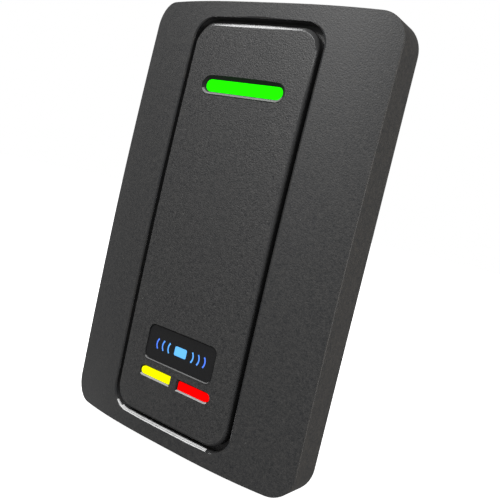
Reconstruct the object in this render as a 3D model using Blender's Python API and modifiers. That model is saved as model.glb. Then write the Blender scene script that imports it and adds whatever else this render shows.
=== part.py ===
"""Wall reader for proximity cards: a base that is screwed to the wall, and a pull-off cover in front of it.

The frame is the reader as it hangs: X across it, Z up, and -Y out of the wall. The origin is the
middle of the base's back face, which lies on the wall at y = 0. Lengths are in metres.
"""

import math

import bmesh
import bpy
from mathutils import Matrix, Vector

# Housing: a drafted box with an arched front.
HALF_WIDTH = 0.03875
HALF_HEIGHT = 0.0595
CORNER_RADIUS = 0.0084
WALL_DRAFT = 0.07
CORNER_TAPER = 0.24
EDGE_DEPTH = 0.00775
ARCH_LONG = 0.00128
ARCH_ACROSS = 0.00484
ARCH_LONG_POWER = 1.8
ARCH_ACROSS_POWER = 2.73
FACE_HALF_WIDTH = HALF_WIDTH - WALL_DRAFT * EDGE_DEPTH
FACE_HALF_HEIGHT = HALF_HEIGHT - WALL_DRAFT * EDGE_DEPTH
HOUSING_WALL = 0.002

# Recess in the housing's front, and the panel that is staked into it.
RECESS_HALF_WIDTH = 0.0201
RECESS_HALF_HEIGHT = 0.05435
RECESS_RADIUS = 0.006
RECESS_FLOOR = -0.0092
RECESS_FLOOR_THICKNESS = 0.0014
GROOVE_WIDTH = 0.00155
PANEL_HALF_WIDTH = RECESS_HALF_WIDTH - GROOVE_WIDTH
PANEL_HALF_HEIGHT = RECESS_HALF_HEIGHT - GROOVE_WIDTH
PANEL_RADIUS = RECESS_RADIUS - 0.0008
PANEL_PROUD = 0.0002
PANEL_SKIN = 0.0016
PANEL_SKIRT = 0.0014
PEG_RADIUS = 0.0012
PEG_HOLE_RADIUS = 0.0016
PEG_X = 0.0142
PEG_HEIGHTS = (0.024, -0.018)

# Lit windows of the panel: middle, half width and half height.
GREEN_X = 0.0002
GREEN_Z = 0.03645
GREEN_SIZE = (0.0120, 0.00155)
GREEN_MOUTH = (0.0133, 0.0026)
GREEN_FLARE = (0.0146, 0.00365)
GREEN_SUNK = 0.0009
FULL_ROUND = 0.995
PAIR_Z = -0.0411
PAIR_INNER_X = 0.0016
PAIR_OUTER_X = 0.0114
PAIR_HALF_HEIGHT = 0.0011
PAIR_MOUTH_RIM = 0.0005
PAIR_SUNK = 0.0004
BADGE_X = 0.0001
BADGE_Z = -0.0331
BADGE_SIZE = (0.0114, 0.00455)
BADGE_RADIUS = 0.0018
BADGE_SUNK = 0.0004
SYMBOL_STROKE = 0.0006
SYMBOL_HALF_HEIGHT = 0.0014
SYMBOL_CARD = (0.0021, 0.0013, 0.0004)
SYMBOL_CLEARANCE = 0.00012
WAVE_RADIUS = 0.0021
WAVE_REACHES = (0.0043, 0.0063, 0.0083)

# Flange that holds each window piece behind the panel's skin, and the blade that reaches the lights.
FLANGE_GAP = 0.0004
FLANGE_THICKNESS = 0.0008
BADGE_FLANGE_THICKNESS = 0.0006

# Base, with its fixings and its cable hole.
BASE_HALF_WIDTH = 0.0362
BASE_HALF_HEIGHT = 0.05695
BASE_RADIUS = 0.0062
BASE_FLOOR = 0.0022
BASE_RIM = 0.0014
BASE_RIM_TOP = -0.005
SCREW_SPACING = 0.0833
SLOT_HALF_LENGTH = 0.0042
SLOT_HALF_WIDTH = 0.0021
CABLE_Z = -0.017
CABLE_HOLE_RADIUS = 0.0055
GASKET_OUTSIDE = 0.0008
GASKET_WIDTH = 0.0030
GASKET_DEPTH = 0.0007

# Electronics on one board.
BOARD_HALF_WIDTH = 0.033
BOARD_HALF_HEIGHT = 0.051
BOARD_BACK = -0.0046
BOARD_FRONT = -0.0056
PILLAR_X = 0.024
PILLAR_Z = 0.039
PILLAR_RADIUS = 0.0026
COIL_HALF_WIDTH = 0.0315
COIL_HALF_HEIGHT = 0.050
COIL_WIDTH = 0.003
COIL_BACK = -0.0025
COIL_FRONT = -0.0043
LED_TOP = -0.0072

# Tamper switch, and the security screw of the cover.
TAMPER_X = 0.018
TAMPER_Z = -0.030
TAMPER_CUTOUT = 0.0036
TAMPER_CASE = 0.0032
TAMPER_HOLE_RADIUS = 0.0016
GRUB_Y = -0.0045
GRUB_TOP = -0.0537
GRUB_BOTTOM = -0.0587
GRUB_RADIUS = 0.0014
LUG_TOP = -0.0513
LUG_HALF_WIDTH = 0.005
BOSS_REACH = 0.0007

# Clearance between neighbouring pieces, and how far a cutter runs past what it cuts.
GAP = 0.0003
PAST = 0.002
ROOM = -0.020

PARTS = "card_reader"
CUTTERS = "cutters"


def clear_scene():
    for obj in list(bpy.data.objects):
        bpy.data.objects.remove(obj, do_unlink=True)
    for name in (PARTS, CUTTERS):
        collection = bpy.data.collections.new(name)
        bpy.context.scene.collection.children.link(collection)
    bpy.data.collections[CUTTERS].hide_render = True


def plastic(name, colour, roughness=0.5, metallic=0.0):
    material = bpy.data.materials.new(name)
    material.use_nodes = True
    shader = material.node_tree.nodes["Principled BSDF"]
    shader.inputs["Base Color"].default_value = (*colour, 1.0)
    shader.inputs["Roughness"].default_value = roughness
    shader.inputs["Metallic"].default_value = metallic
    material.diffuse_color = (*colour, 1.0)
    return material


def place(name, bm, material=None):
    """A mesh object from bm: a part if it has a material, or else a hidden cutter."""
    bmesh.ops.recalc_face_normals(bm, faces=bm.faces)
    mesh = bpy.data.meshes.new(name)
    bm.to_mesh(mesh)
    bm.free()
    obj = bpy.data.objects.new(name, mesh)
    if material is None:
        obj.hide_render = True
        obj.display_type = "WIRE"
        bpy.data.collections[CUTTERS].objects.link(obj)
        return obj
    mesh.materials.append(material)
    mesh.shade_smooth()
    mesh.set_sharp_from_angle(angle=math.radians(32))
    bpy.data.collections[PARTS].objects.link(obj)
    return obj


def combine(obj, operation, *others):
    for other in others:
        modifier = obj.modifiers.new(f"{operation.lower()} {other.name}", "BOOLEAN")
        modifier.operation = operation
        modifier.solver = "EXACT"
        modifier.object = other
    return obj


def cut(obj, *others):
    return combine(obj, "DIFFERENCE", *others)


def join(obj, *others):
    return combine(obj, "UNION", *others)


def keep(obj, *others):
    return combine(obj, "INTERSECT", *others)


def corner_arc(centre_x, centre_z, radius, quarter, steps):
    turns = [(quarter + step / steps) * math.pi / 2 for step in range(steps + 1)]
    return [(centre_x + radius * math.cos(a), centre_z + radius * math.sin(a)) for a in turns]


def rounded(half_width, half_height, radius, x=0.0, z=0.0, steps=6):
    """Outline of a rectangle with round corners about (x, z), going round from +X to +Z."""
    reach_x = half_width - radius
    reach_z = half_height - radius
    points = []
    for quarter, (side_x, side_z) in enumerate(((1, 1), (-1, 1), (-1, -1), (1, -1))):
        points += corner_arc(x + side_x * reach_x, z + side_z * reach_z, radius, quarter, steps)
    return points


def pill(half_width, half_height, x, z):
    """Outline of a bar with two round ends about (x, z)."""
    return rounded(half_width, half_height, half_height * FULL_ROUND, x, z, 5)


def loft(name, sections, material=None):
    """A closed solid through outlines of equal point count, each given as (y, points)."""
    bm = bmesh.new()
    rings = [[bm.verts.new((x, y, z)) for x, z in points] for y, points in sections]
    for ring, following in zip(rings, rings[1:]):
        for i in range(len(ring)):
            j = (i + 1) % len(ring)
            bm.faces.new((ring[i], ring[j], following[j], following[i]))
    bm.faces.new(rings[0])
    bm.faces.new(rings[-1])
    return place(name, bm, material)


def slab(name, outline, back, front, material=None):
    return loft(name, [(back, outline), (front, outline)], material)


def block(name, low, high, material=None, bevel=0.0):
    bm = bmesh.new()
    bmesh.ops.create_cube(bm, size=1.0)
    size = Vector(high) - Vector(low)
    middle = (Vector(high) + Vector(low)) / 2
    bmesh.ops.scale(bm, vec=size, verts=bm.verts)
    bmesh.ops.translate(bm, vec=middle, verts=bm.verts)
    obj = place(name, bm, material)
    if bevel:
        rounding = obj.modifiers.new("edges", "BEVEL")
        rounding.width = bevel
        rounding.segments = 1
    return obj


def rod(name, radius, start, end, material=None, sides=20, tip_radius=None):
    """A cylinder or cone between two points."""
    start = Vector(start)
    end = Vector(end)
    along = end - start
    turn = along.to_track_quat("Z", "Y").to_matrix().to_4x4()
    bm = bmesh.new()
    bmesh.ops.create_cone(
        bm,
        cap_ends=True,
        segments=sides,
        radius1=radius,
        radius2=radius if tip_radius is None else tip_radius,
        depth=along.length,
        matrix=Matrix.Translation((start + end) / 2) @ turn,
    )
    return place(name, bm, material)


def face_y(x, z, lift=0.0):
    """The arched front face of the housing, raised towards the room by lift."""
    across = min(abs(x) / FACE_HALF_WIDTH, 1.0) ** ARCH_ACROSS_POWER
    along = min(abs(z) / FACE_HALF_HEIGHT, 1.0) ** ARCH_LONG_POWER
    return -(EDGE_DEPTH + ARCH_LONG * (1 - along) + ARCH_ACROSS * (1 - across) + lift)


def arched_block(name, half_width, half_height, lift, back, columns, rows):
    """A solid with a flat back and the housing's arch as its front."""
    bm = bmesh.new()
    bmesh.ops.create_grid(bm, x_segments=columns, y_segments=rows, size=1.0)
    for vert in bm.verts:
        x = vert.co.x * half_width
        z = vert.co.y * half_height
        vert.co = (x, face_y(x, z, lift), z)
    grown = bmesh.ops.extrude_face_region(bm, geom=list(bm.faces))
    for item in grown["geom"]:
        if isinstance(item, bmesh.types.BMVert):
            item.co.y = back
    return place(name, bm)


def drafted(name, inset, back, front, material=None):
    """The housing's outline, inset by a wall, drafted from back to front."""
    sections = []
    for y in (back, front):
        lean = WALL_DRAFT * -y
        radius = CORNER_RADIUS - CORNER_TAPER * -y - inset / 2
        sections.append((y, rounded(HALF_WIDTH - inset - lean, HALF_HEIGHT - inset - lean, radius)))
    return loft(name, sections, material)


def window_outline(side, inner, outer, z, half_height, steps=6):
    """A bar that is square at its inner end and round at its outer end; side is -1 or 1."""
    points = [(side * inner, z + half_height), (side * inner, z - half_height)]
    for step in range(steps + 1):
        angle = math.pi * (step / steps - 0.5)
        reach = outer - half_height + half_height * math.cos(angle)
        points.append((side * reach, z + half_height * math.sin(angle)))
    return points


def stroke(name, points, back, front):
    """A solid line of the symbol's width through points in the panel's plane."""
    half = SYMBOL_STROKE / 2
    left = []
    right = []
    for i, point in enumerate(points):
        before = Vector(points[max(i - 1, 0)])
        after = Vector(points[min(i + 1, len(points) - 1)])
        run = (after - before).normalized()
        side = Vector((-run.y, run.x)) * half
        left.append(tuple(Vector(point) + side))
        right.append(tuple(Vector(point) - side))
    return slab(name, left + right[::-1], back, front)


def symbol_strokes(name, back, front):
    """A generic mark, a card between radio waves: three arcs on each side of a small plate."""
    pieces = []
    spread = math.asin(SYMBOL_HALF_HEIGHT / WAVE_RADIUS)
    angles = [spread * (step / 4 - 1) for step in range(9)]
    for side in (-1, 1):
        for number, reach in enumerate(WAVE_REACHES):
            middle = BADGE_X + side * (reach - WAVE_RADIUS)
            arc = [
                (middle + side * WAVE_RADIUS * math.cos(a), BADGE_Z + WAVE_RADIUS * math.sin(a))
                for a in angles
            ]
            pieces.append(stroke(f"{name} wave {side} {number}", arc, back, front))
    pieces.append(slab(f"{name} card", rounded(*SYMBOL_CARD, BADGE_X, BADGE_Z, 2), back, front))
    return pieces


def front_housing(black):
    """One moulded shell: drafted walls, arched front, and a recess with a floor for the panel."""
    shell = drafted("front_housing", 0.0, 0.0, -0.018, black)
    arch = arched_block("housing arch", 0.045, 0.066, 0.0, 0.004, 22, 20)
    hollow = drafted("housing hollow", HOUSING_WALL, PAST, -0.018)
    under_arch = arched_block("hollow arch", 0.045, 0.066, -HOUSING_WALL, 0.004, 14, 14)
    inside_of_floor = RECESS_FLOOR + RECESS_FLOOR_THICKNESS
    kept = slab(
        "recess walls",
        rounded(
            RECESS_HALF_WIDTH + HOUSING_WALL,
            RECESS_HALF_HEIGHT + HOUSING_WALL / 2,
            RECESS_RADIUS + 0.001,
        ),
        inside_of_floor,
        ROOM,
    )
    keep(hollow, under_arch)
    cut(hollow, kept)
    recess = slab(
        "recess", rounded(RECESS_HALF_WIDTH, RECESS_HALF_HEIGHT, RECESS_RADIUS), RECESS_FLOOR, ROOM
    )
    keep(shell, arch)
    cut(shell, hollow, recess)
    low = (-LUG_HALF_WIDTH, inside_of_floor - BOSS_REACH, -0.0580)
    high = (LUG_HALF_WIDTH, -0.0025, GRUB_TOP - 0.0001)
    join(shell, block("screw boss", low, high))
    cut(shell, rod("screw hole", 0.0025, (0, GRUB_Y, -0.062), (0, GRUB_Y, -0.052)))
    floor_cutters = [
        ("green way", 0.0105, 0.0017, GREEN_X, GREEN_Z),
        ("badge way", 0.0080, 0.0018, BADGE_X, BADGE_Z),
        ("amber way", 0.0038, 0.0014, -0.0068, PAIR_Z),
        ("red way", 0.0038, 0.0014, 0.0068, PAIR_Z),
    ]
    for name, half_width, half_height, x, z in floor_cutters:
        low = (x - half_width, -0.0110, z - half_height)
        high = (x + half_width, -0.0050, z + half_height)
        cut(shell, block(name, low, high))
    for x, z in peg_places():
        hole = ((x, -0.011, z), (x, -0.005, z))
        cut(shell, rod(f"peg hole {x} {z}", PEG_HOLE_RADIUS, *hole, sides=12))
    return shell


def peg_places():
    return [(side * PEG_X, z) for side in (-1, 1) for z in PEG_HEIGHTS]


def panel_skin_y(z):
    return face_y(0.0, z, PANEL_PROUD)


def centre_panel(black):
    """The panel: an arched skin with a skirt, sunk windows, and four staking pegs behind it."""
    back = RECESS_FLOOR - GAP
    outline = rounded(PANEL_HALF_WIDTH, PANEL_HALF_HEIGHT, PANEL_RADIUS)
    panel = slab("centre_panel", outline, back, ROOM, black)
    keep(panel, arched_block("panel arch", 0.026, 0.060, PANEL_PROUD, 0.0, 14, 20))
    inner = rounded(
        PANEL_HALF_WIDTH - PANEL_SKIRT, PANEL_HALF_HEIGHT - PANEL_SKIRT, PANEL_RADIUS - 0.001
    )
    hollow = slab("panel hollow", inner, back + PAST, ROOM)
    keep(hollow, arched_block("panel hollow arch", 0.026, 0.060, PANEL_PROUD - PANEL_SKIN, 0.002, 8, 12))
    cut(panel, hollow)
    green_face = panel_skin_y(GREEN_Z)
    mouth = pill(*GREEN_MOUTH, GREEN_X, GREEN_Z)
    throat = pill(GREEN_SIZE[0] + GAP / 2, GREEN_SIZE[1] + GAP / 2, GREEN_X, GREEN_Z)
    flare = pill(*GREEN_FLARE, GREEN_X, GREEN_Z)
    funnel = [
        (green_face - GREEN_SUNK, flare),
        (green_face, mouth),
        (green_face + GREEN_SUNK, throat),
        (-0.008, throat),
    ]
    cut(panel, loft("green window", funnel))
    pair_face = panel_skin_y(PAIR_Z)
    rim = PAIR_MOUTH_RIM
    for side in (-1, 1):
        bar = window_outline(side, PAIR_INNER_X, PAIR_OUTER_X, PAIR_Z, PAIR_HALF_HEIGHT + GAP / 2)
        wide = window_outline(
            side, PAIR_INNER_X - rim, PAIR_OUTER_X + rim, PAIR_Z, PAIR_HALF_HEIGHT + rim
        )
        sections = [(pair_face - 0.001, wide), (pair_face + 0.0001, wide), (pair_face + 0.0006, bar)]
        cut(panel, loft(f"pair window {side}", sections + [(-0.008, bar)]))
    badge = rounded(
        BADGE_SIZE[0] + GAP / 2, BADGE_SIZE[1] + GAP / 2, BADGE_RADIUS, BADGE_X, BADGE_Z, 4
    )
    cut(panel, slab("badge window", badge, -0.008, -0.018))
    for x, z in peg_places():
        peg = ((x, face_y(x, z) + PANEL_SKIN / 2, z), (x, RECESS_FLOOR + 0.0013, z))
        join(panel, rod(f"peg {x} {z}", PEG_RADIUS, *peg, sides=12))
    return panel


def stepped(front, face, skin, wide, thickness, blade):
    """Sections of a window piece: its face, a flange behind the skin, and a blade to the lights."""
    flange = skin + PANEL_SKIN + FLANGE_GAP
    back = flange + thickness
    return [
        (front, face),
        (flange, face),
        (flange, wide),
        (back, wide),
        (back, blade),
        (LED_TOP - GAP, blade),
    ]


def green_light_pipe(clear_green):
    """A clear bar in the upper window, with a flange behind the skin and a blade down to the lights."""
    front = panel_skin_y(GREEN_Z) + GREEN_SUNK
    bar = pill(GREEN_SIZE[0] - GAP / 2, GREEN_SIZE[1] - GAP / 2, GREEN_X, GREEN_Z)
    wide = pill(0.0130, 0.0023, GREEN_X, GREEN_Z)
    blade = pill(0.0100, 0.0011, GREEN_X, GREEN_Z)
    sections = stepped(front, bar, panel_skin_y(GREEN_Z), wide, FLANGE_THICKNESS, blade)
    return loft("green_light_pipe", sections, clear_green)


def pair_light_pipe(name, side, tinted):
    front = panel_skin_y(PAIR_Z) + PAIR_SUNK
    bar = window_outline(
        side, PAIR_INNER_X + GAP / 2, PAIR_OUTER_X - GAP / 2, PAIR_Z, PAIR_HALF_HEIGHT - GAP / 2
    )
    wide = window_outline(side, PAIR_INNER_X - 0.0008, PAIR_OUTER_X + 0.0008, PAIR_Z, 0.0020)
    blade = window_outline(side, 0.0035, 0.0100, PAIR_Z, 0.0009)
    sections = stepped(front, bar, panel_skin_y(PAIR_Z), wide, FLANGE_THICKNESS, blade)
    return loft(name, sections, tinted)


def badge_plate(smoked):
    """A dark window plate, pierced by the symbol and held by a flange behind the skin."""
    front = panel_skin_y(BADGE_Z) + BADGE_SUNK
    flange = panel_skin_y(BADGE_Z) + PANEL_SKIN + FLANGE_GAP
    back = flange + BADGE_FLANGE_THICKNESS
    face = rounded(BADGE_SIZE[0] - GAP / 2, BADGE_SIZE[1] - GAP / 2, BADGE_RADIUS, BADGE_X, BADGE_Z, 4)
    wide = rounded(BADGE_SIZE[0] + 0.001, BADGE_SIZE[1] + 0.0007, BADGE_RADIUS, BADGE_X, BADGE_Z, 4)
    sections = [(front, face), (flange, face), (flange, wide), (back, wide)]
    plate = loft("badge_plate", sections, smoked)
    for cutter in symbol_strokes("symbol cut", ROOM, -0.009):
        cut(plate, cutter)
    return plate


def badge_diffuser(frosted):
    """A frosted plate behind the badge, with the symbol raised on it and a blade to the blue lights."""
    front = panel_skin_y(BADGE_Z) + BADGE_SUNK + 0.0001
    back = panel_skin_y(BADGE_Z) + PANEL_SKIN + FLANGE_GAP + BADGE_FLANGE_THICKNESS + GAP
    middle = back + BADGE_FLANGE_THICKNESS
    plate = rounded(0.0110, 0.0030, 0.0010, BADGE_X, BADGE_Z, 2)
    blade = rounded(0.0075, 0.0013, 0.0004, BADGE_X, BADGE_Z, 2)
    sections = [(back, plate), (middle, plate), (middle, blade), (LED_TOP - GAP, blade)]
    diffuser = loft("badge_diffuser", sections, frosted)
    for raised in symbol_strokes("symbol", front, back + 0.0002):
        join(diffuser, thinned(raised))
    return diffuser


def thinned(piece):
    """Moves a stroke's sides inwards, so that it clears the hole it stands in."""
    bm = bmesh.new()
    bm.from_mesh(piece.data)
    bm.normal_update()
    moves = {}
    for vert in bm.verts:
        inward = Vector((0, 0, 0))
        for face in vert.link_faces:
            if abs(face.normal.y) < 0.5:
                inward -= face.normal
        moves[vert] = inward.normalized() * SYMBOL_CLEARANCE if inward.length > 0.01 else inward
    for vert, move in moves.items():
        vert.co += move
    bm.to_mesh(piece.data)
    bm.free()
    return piece


def base_plate(grey):
    """The wall base: floor, rim, board pillars, screw slots, cable hole and the lug the screw bears on."""
    lean = WALL_DRAFT * -BASE_RIM_TOP
    sections = [
        (0.0, rounded(BASE_HALF_WIDTH, BASE_HALF_HEIGHT, BASE_RADIUS)),
        (BASE_RIM_TOP, rounded(BASE_HALF_WIDTH - lean, BASE_HALF_HEIGHT - lean, BASE_RADIUS)),
    ]
    base = loft("base_plate", sections, grey)
    tray = rounded(
        BASE_HALF_WIDTH - BASE_RIM - lean, BASE_HALF_HEIGHT - BASE_RIM - lean, BASE_RADIUS - 0.0012
    )
    cut(base, slab("base tray", tray, -BASE_FLOOR, -0.012))
    for x in (-PILLAR_X, PILLAR_X):
        for z in (-PILLAR_Z, PILLAR_Z):
            base_to_board = ((x, -0.0015, z), (x, BOARD_BACK + GAP, z))
            join(base, rod(f"pillar {x} {z}", PILLAR_RADIUS, *base_to_board, sides=14))
            hole = ((x, -0.0016, z), (x, -0.009, z))
            cut(base, rod(f"pillar hole {x} {z}", 0.0011, *hole, sides=10))
    low = (-LUG_HALF_WIDTH, -0.0070, GRUB_TOP + GAP)
    join(base, block("lug", low, (LUG_HALF_WIDTH, -0.0015, LUG_TOP)))
    notch = LUG_HALF_WIDTH + 2 * GAP
    high = (notch, -BASE_FLOOR, GRUB_TOP - 0.0001)
    cut(base, block("rim notch", (-notch, -0.012, -0.060), high))
    for side in (-1, 1):
        z = side * SCREW_SPACING / 2
        slot = rounded(SLOT_HALF_WIDTH, SLOT_HALF_LENGTH, SLOT_HALF_WIDTH * FULL_ROUND, 0.0, z, 5)
        cut(base, slab(f"screw slot {side}", slot, PAST, -0.004))
    cut(base, rod("cable hole", CABLE_HOLE_RADIUS, (0, PAST, CABLE_Z), (0, -0.004, CABLE_Z)))
    tamper = ((TAMPER_X, PAST, TAMPER_Z), (TAMPER_X, -0.004, TAMPER_Z))
    cut(base, rod("tamper hole", TAMPER_HOLE_RADIUS, *tamper, sides=16))
    outer, inner = gasket_outlines(GAP)
    cut(base, ring("gasket groove", outer, inner, PAST, -GASKET_DEPTH - GAP))
    return base


def gasket_outlines(spare):
    near = GASKET_OUTSIDE - spare
    far = GASKET_OUTSIDE + GASKET_WIDTH + spare
    outer = rounded(BASE_HALF_WIDTH - near, BASE_HALF_HEIGHT - near, BASE_RADIUS - near)
    inner = rounded(BASE_HALF_WIDTH - far, BASE_HALF_HEIGHT - far, BASE_RADIUS - far)
    return outer, inner


def ring(name, outer, inner, back, front, material=None):
    """A closed band between two outlines of equal point count."""
    bm = bmesh.new()
    loops = []
    for points, y in ((outer, back), (outer, front), (inner, front), (inner, back)):
        loops.append([bm.verts.new((x, y, z)) for x, z in points])
    for first, second in zip(loops, loops[1:] + loops[:1]):
        for i in range(len(first)):
            j = (i + 1) % len(first)
            bm.faces.new((first[i], first[j], second[j], second[i]))
    return place(name, bm, material)


def wall_gasket(foam):
    outer, inner = gasket_outlines(0.0)
    return ring("wall_gasket", outer, inner, 0.0, -GASKET_DEPTH, foam)


def antenna_coil(copper):
    """The wound aerial: a flat band of enamelled wire that lies behind the board's edge."""
    outer = rounded(COIL_HALF_WIDTH, COIL_HALF_HEIGHT, 0.008)
    inner = rounded(COIL_HALF_WIDTH - COIL_WIDTH, COIL_HALF_HEIGHT - COIL_WIDTH, 0.005)
    return ring("antenna_coil", outer, inner, COIL_BACK, COIL_FRONT, copper)


def circuit_board(laminate):
    outline = rounded(BOARD_HALF_WIDTH, BOARD_HALF_HEIGHT, 0.003, steps=3)
    board = slab("circuit_board", outline, BOARD_BACK, BOARD_FRONT, laminate)
    through = [(0.0, side * SCREW_SPACING / 2, 0.0040) for side in (-1, 1)]
    through.append((0.0, CABLE_Z, 0.0045))
    through += [(sx * PILLAR_X, sz * PILLAR_Z, 0.0012) for sx in (-1, 1) for sz in (-1, 1)]
    for x, z, radius in through:
        hole = ((x, 0.0, z), (x, -0.01, z))
        cut(board, rod(f"board hole {x} {z}", radius, *hole, sides=16))
    half = TAMPER_CUTOUT
    low = (TAMPER_X - half, -0.01, TAMPER_Z - half)
    cut(board, block("tamper cutout", low, (TAMPER_X + half, 0.0, TAMPER_Z + half)))
    return board


def board_screw(name, x, z, steel):
    """A pan-head screw turned as one profile, with a cross slot."""
    head = BOARD_FRONT - GAP
    screw = rod(name, 0.0018, (x, head, z), (x, head - 0.0012, z), steel, 16, 0.0013)
    join(screw, rod(f"{name} shank", 0.0008, (x, head - 0.0003, z), (x, -0.0021, z), sides=10))
    for half_width, half_height in ((0.0011, 0.0002), (0.0002, 0.0011)):
        low = (x - half_width, head - 0.002, z - half_height)
        high = (x + half_width, head - 0.0007, z + half_height)
        cut(screw, block(f"{name} slot {half_width}", low, high))
    return screw


def chip(name, x, z, width, height, thickness, material, bevel=0.00012):
    back = BOARD_FRONT - GAP
    low = (x - width / 2, back - thickness, z - height / 2)
    high = (x + width / 2, back, z + height / 2)
    return block(name, low, high, material, bevel)


def light(name, x, z, clear):
    """A surface-mounted lamp: a block with a shallow dome."""
    back = BOARD_FRONT - GAP
    lamp = block(name, (x - 0.0016, back - 0.0008, z - 0.0013), (x + 0.0016, back, z + 0.0013), clear)
    dome = ((x, back - 0.0006, z), (x, LED_TOP, z))
    join(lamp, rod(f"{name} dome", 0.0011, *dome, sides=12, tip_radius=0.0008))
    return lamp


def buzzer(black):
    back = BOARD_FRONT - GAP
    x = -0.019
    z = 0.004
    can = rod("buzzer", 0.0055, (x, back, z), (x, back - 0.0015, z), black, 24)
    cut(can, rod("sound hole", 0.0009, (x, back - 0.0008, z), (x, -0.012, z), sides=10))
    return can


def wire_connector(cream):
    """A low ten-way connector for the leads that come through the board."""
    back = BOARD_FRONT - GAP
    body = block("wire_connector", (-0.0125, back - 0.0015, -0.0283), (0.0125, back, -0.0238), cream)
    for way in range(10):
        x = (way - 4.5) * 0.0024
        low = (x - 0.0008, back - 0.0030, -0.0270)
        cut(body, block(f"way {way}", low, (x + 0.0008, back - 0.0005, -0.0222)))
    return body


def cable_grommet(rubber):
    """A rubber bush in the cable hole, with a lip inside the base."""
    z = CABLE_Z
    bush = rod("cable_grommet", CABLE_HOLE_RADIUS - GAP, (0, 0, z), (0, -0.0030, z), rubber, 24)
    join(bush, rod("grommet lip", 0.0070, (0, -BASE_FLOOR - GAP, z), (0, -0.0040, z), sides=24))
    cut(bush, rod("grommet bore", 0.0036, (0, PAST, z), (0, -0.006, z), sides=20))
    return bush


def tamper_switch(black):
    """A switch case that stands in the board's cutout, bored for its plunger and spring."""
    x = TAMPER_X
    z = TAMPER_Z
    half = TAMPER_CASE
    case = block("tamper_switch", (x - half, -0.0075, z - half), (x + half, -0.0025, z + half), black)
    cut(case, rod("switch bore", 0.0024, (x, -0.0030, z), (x, -0.0071, z), sides=20))
    cut(case, rod("switch mouth", TAMPER_HOLE_RADIUS, (x, 0.0, z), (x, -0.0035, z), sides=20))
    return case


def tamper_plunger(white):
    """The plunger that the wall holds in, with a collar inside the switch."""
    x = TAMPER_X
    z = TAMPER_Z
    plunger = rod("tamper_plunger", 0.0012, (x, -0.0001, z), (x, -0.0047, z), white, 20)
    join(plunger, rod("collar", 0.0020, (x, -0.0042, z), (x, -0.0049, z), sides=20))
    return plunger


def tamper_spring(steel):
    """A small compression spring between the collar and the end of the bore."""
    radius = 0.0017
    start = -0.0054
    rise = -0.0013
    turns = 3
    per_turn = 10
    curve = bpy.data.curves.new("tamper_spring", "CURVE")
    curve.dimensions = "3D"
    curve.bevel_depth = 0.0002
    curve.bevel_resolution = 1
    curve.use_fill_caps = True
    spline = curve.splines.new("POLY")
    spline.points.add(turns * per_turn)
    for i, point in enumerate(spline.points):
        angle = 2 * math.pi * i / per_turn
        y = start + rise * i / (turns * per_turn)
        x = TAMPER_X + radius * math.cos(angle)
        z = TAMPER_Z + radius * math.sin(angle)
        point.co = (x, y, z, 1.0)
    curve.materials.append(steel)
    obj = bpy.data.objects.new("tamper_spring", curve)
    bpy.data.collections[PARTS].objects.link(obj)
    return obj


def threaded_insert(brass):
    """A brass sleeve in the boss at the foot of the cover."""
    sleeve = rod("threaded_insert", 0.0022, (0, GRUB_Y, -0.0589), (0, GRUB_Y, -0.0541), brass, 20)
    cut(sleeve, rod("insert bore", 0.0017, (0, GRUB_Y, -0.062), (0, GRUB_Y, -0.050), sides=20))
    return sleeve


def security_screw(steel):
    """A headless screw with a hexagon socket. Its tip bears on the base's lug and holds the cover."""
    screw = rod("security_screw", GRUB_RADIUS, (0, GRUB_Y, GRUB_BOTTOM), (0, GRUB_Y, GRUB_TOP), steel, 20)
    socket = ((0, GRUB_Y, -0.062), (0, GRUB_Y, GRUB_BOTTOM + 0.0017))
    cut(screw, rod("hexagon socket", 0.00085, *socket, sides=6))
    return screw


def set_origin(obj, point):
    """Moves an object's origin to point and leaves its shape where it is."""
    offset = Vector(point)
    obj.data.transform(Matrix.Translation(-offset))
    obj.location = offset


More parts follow.
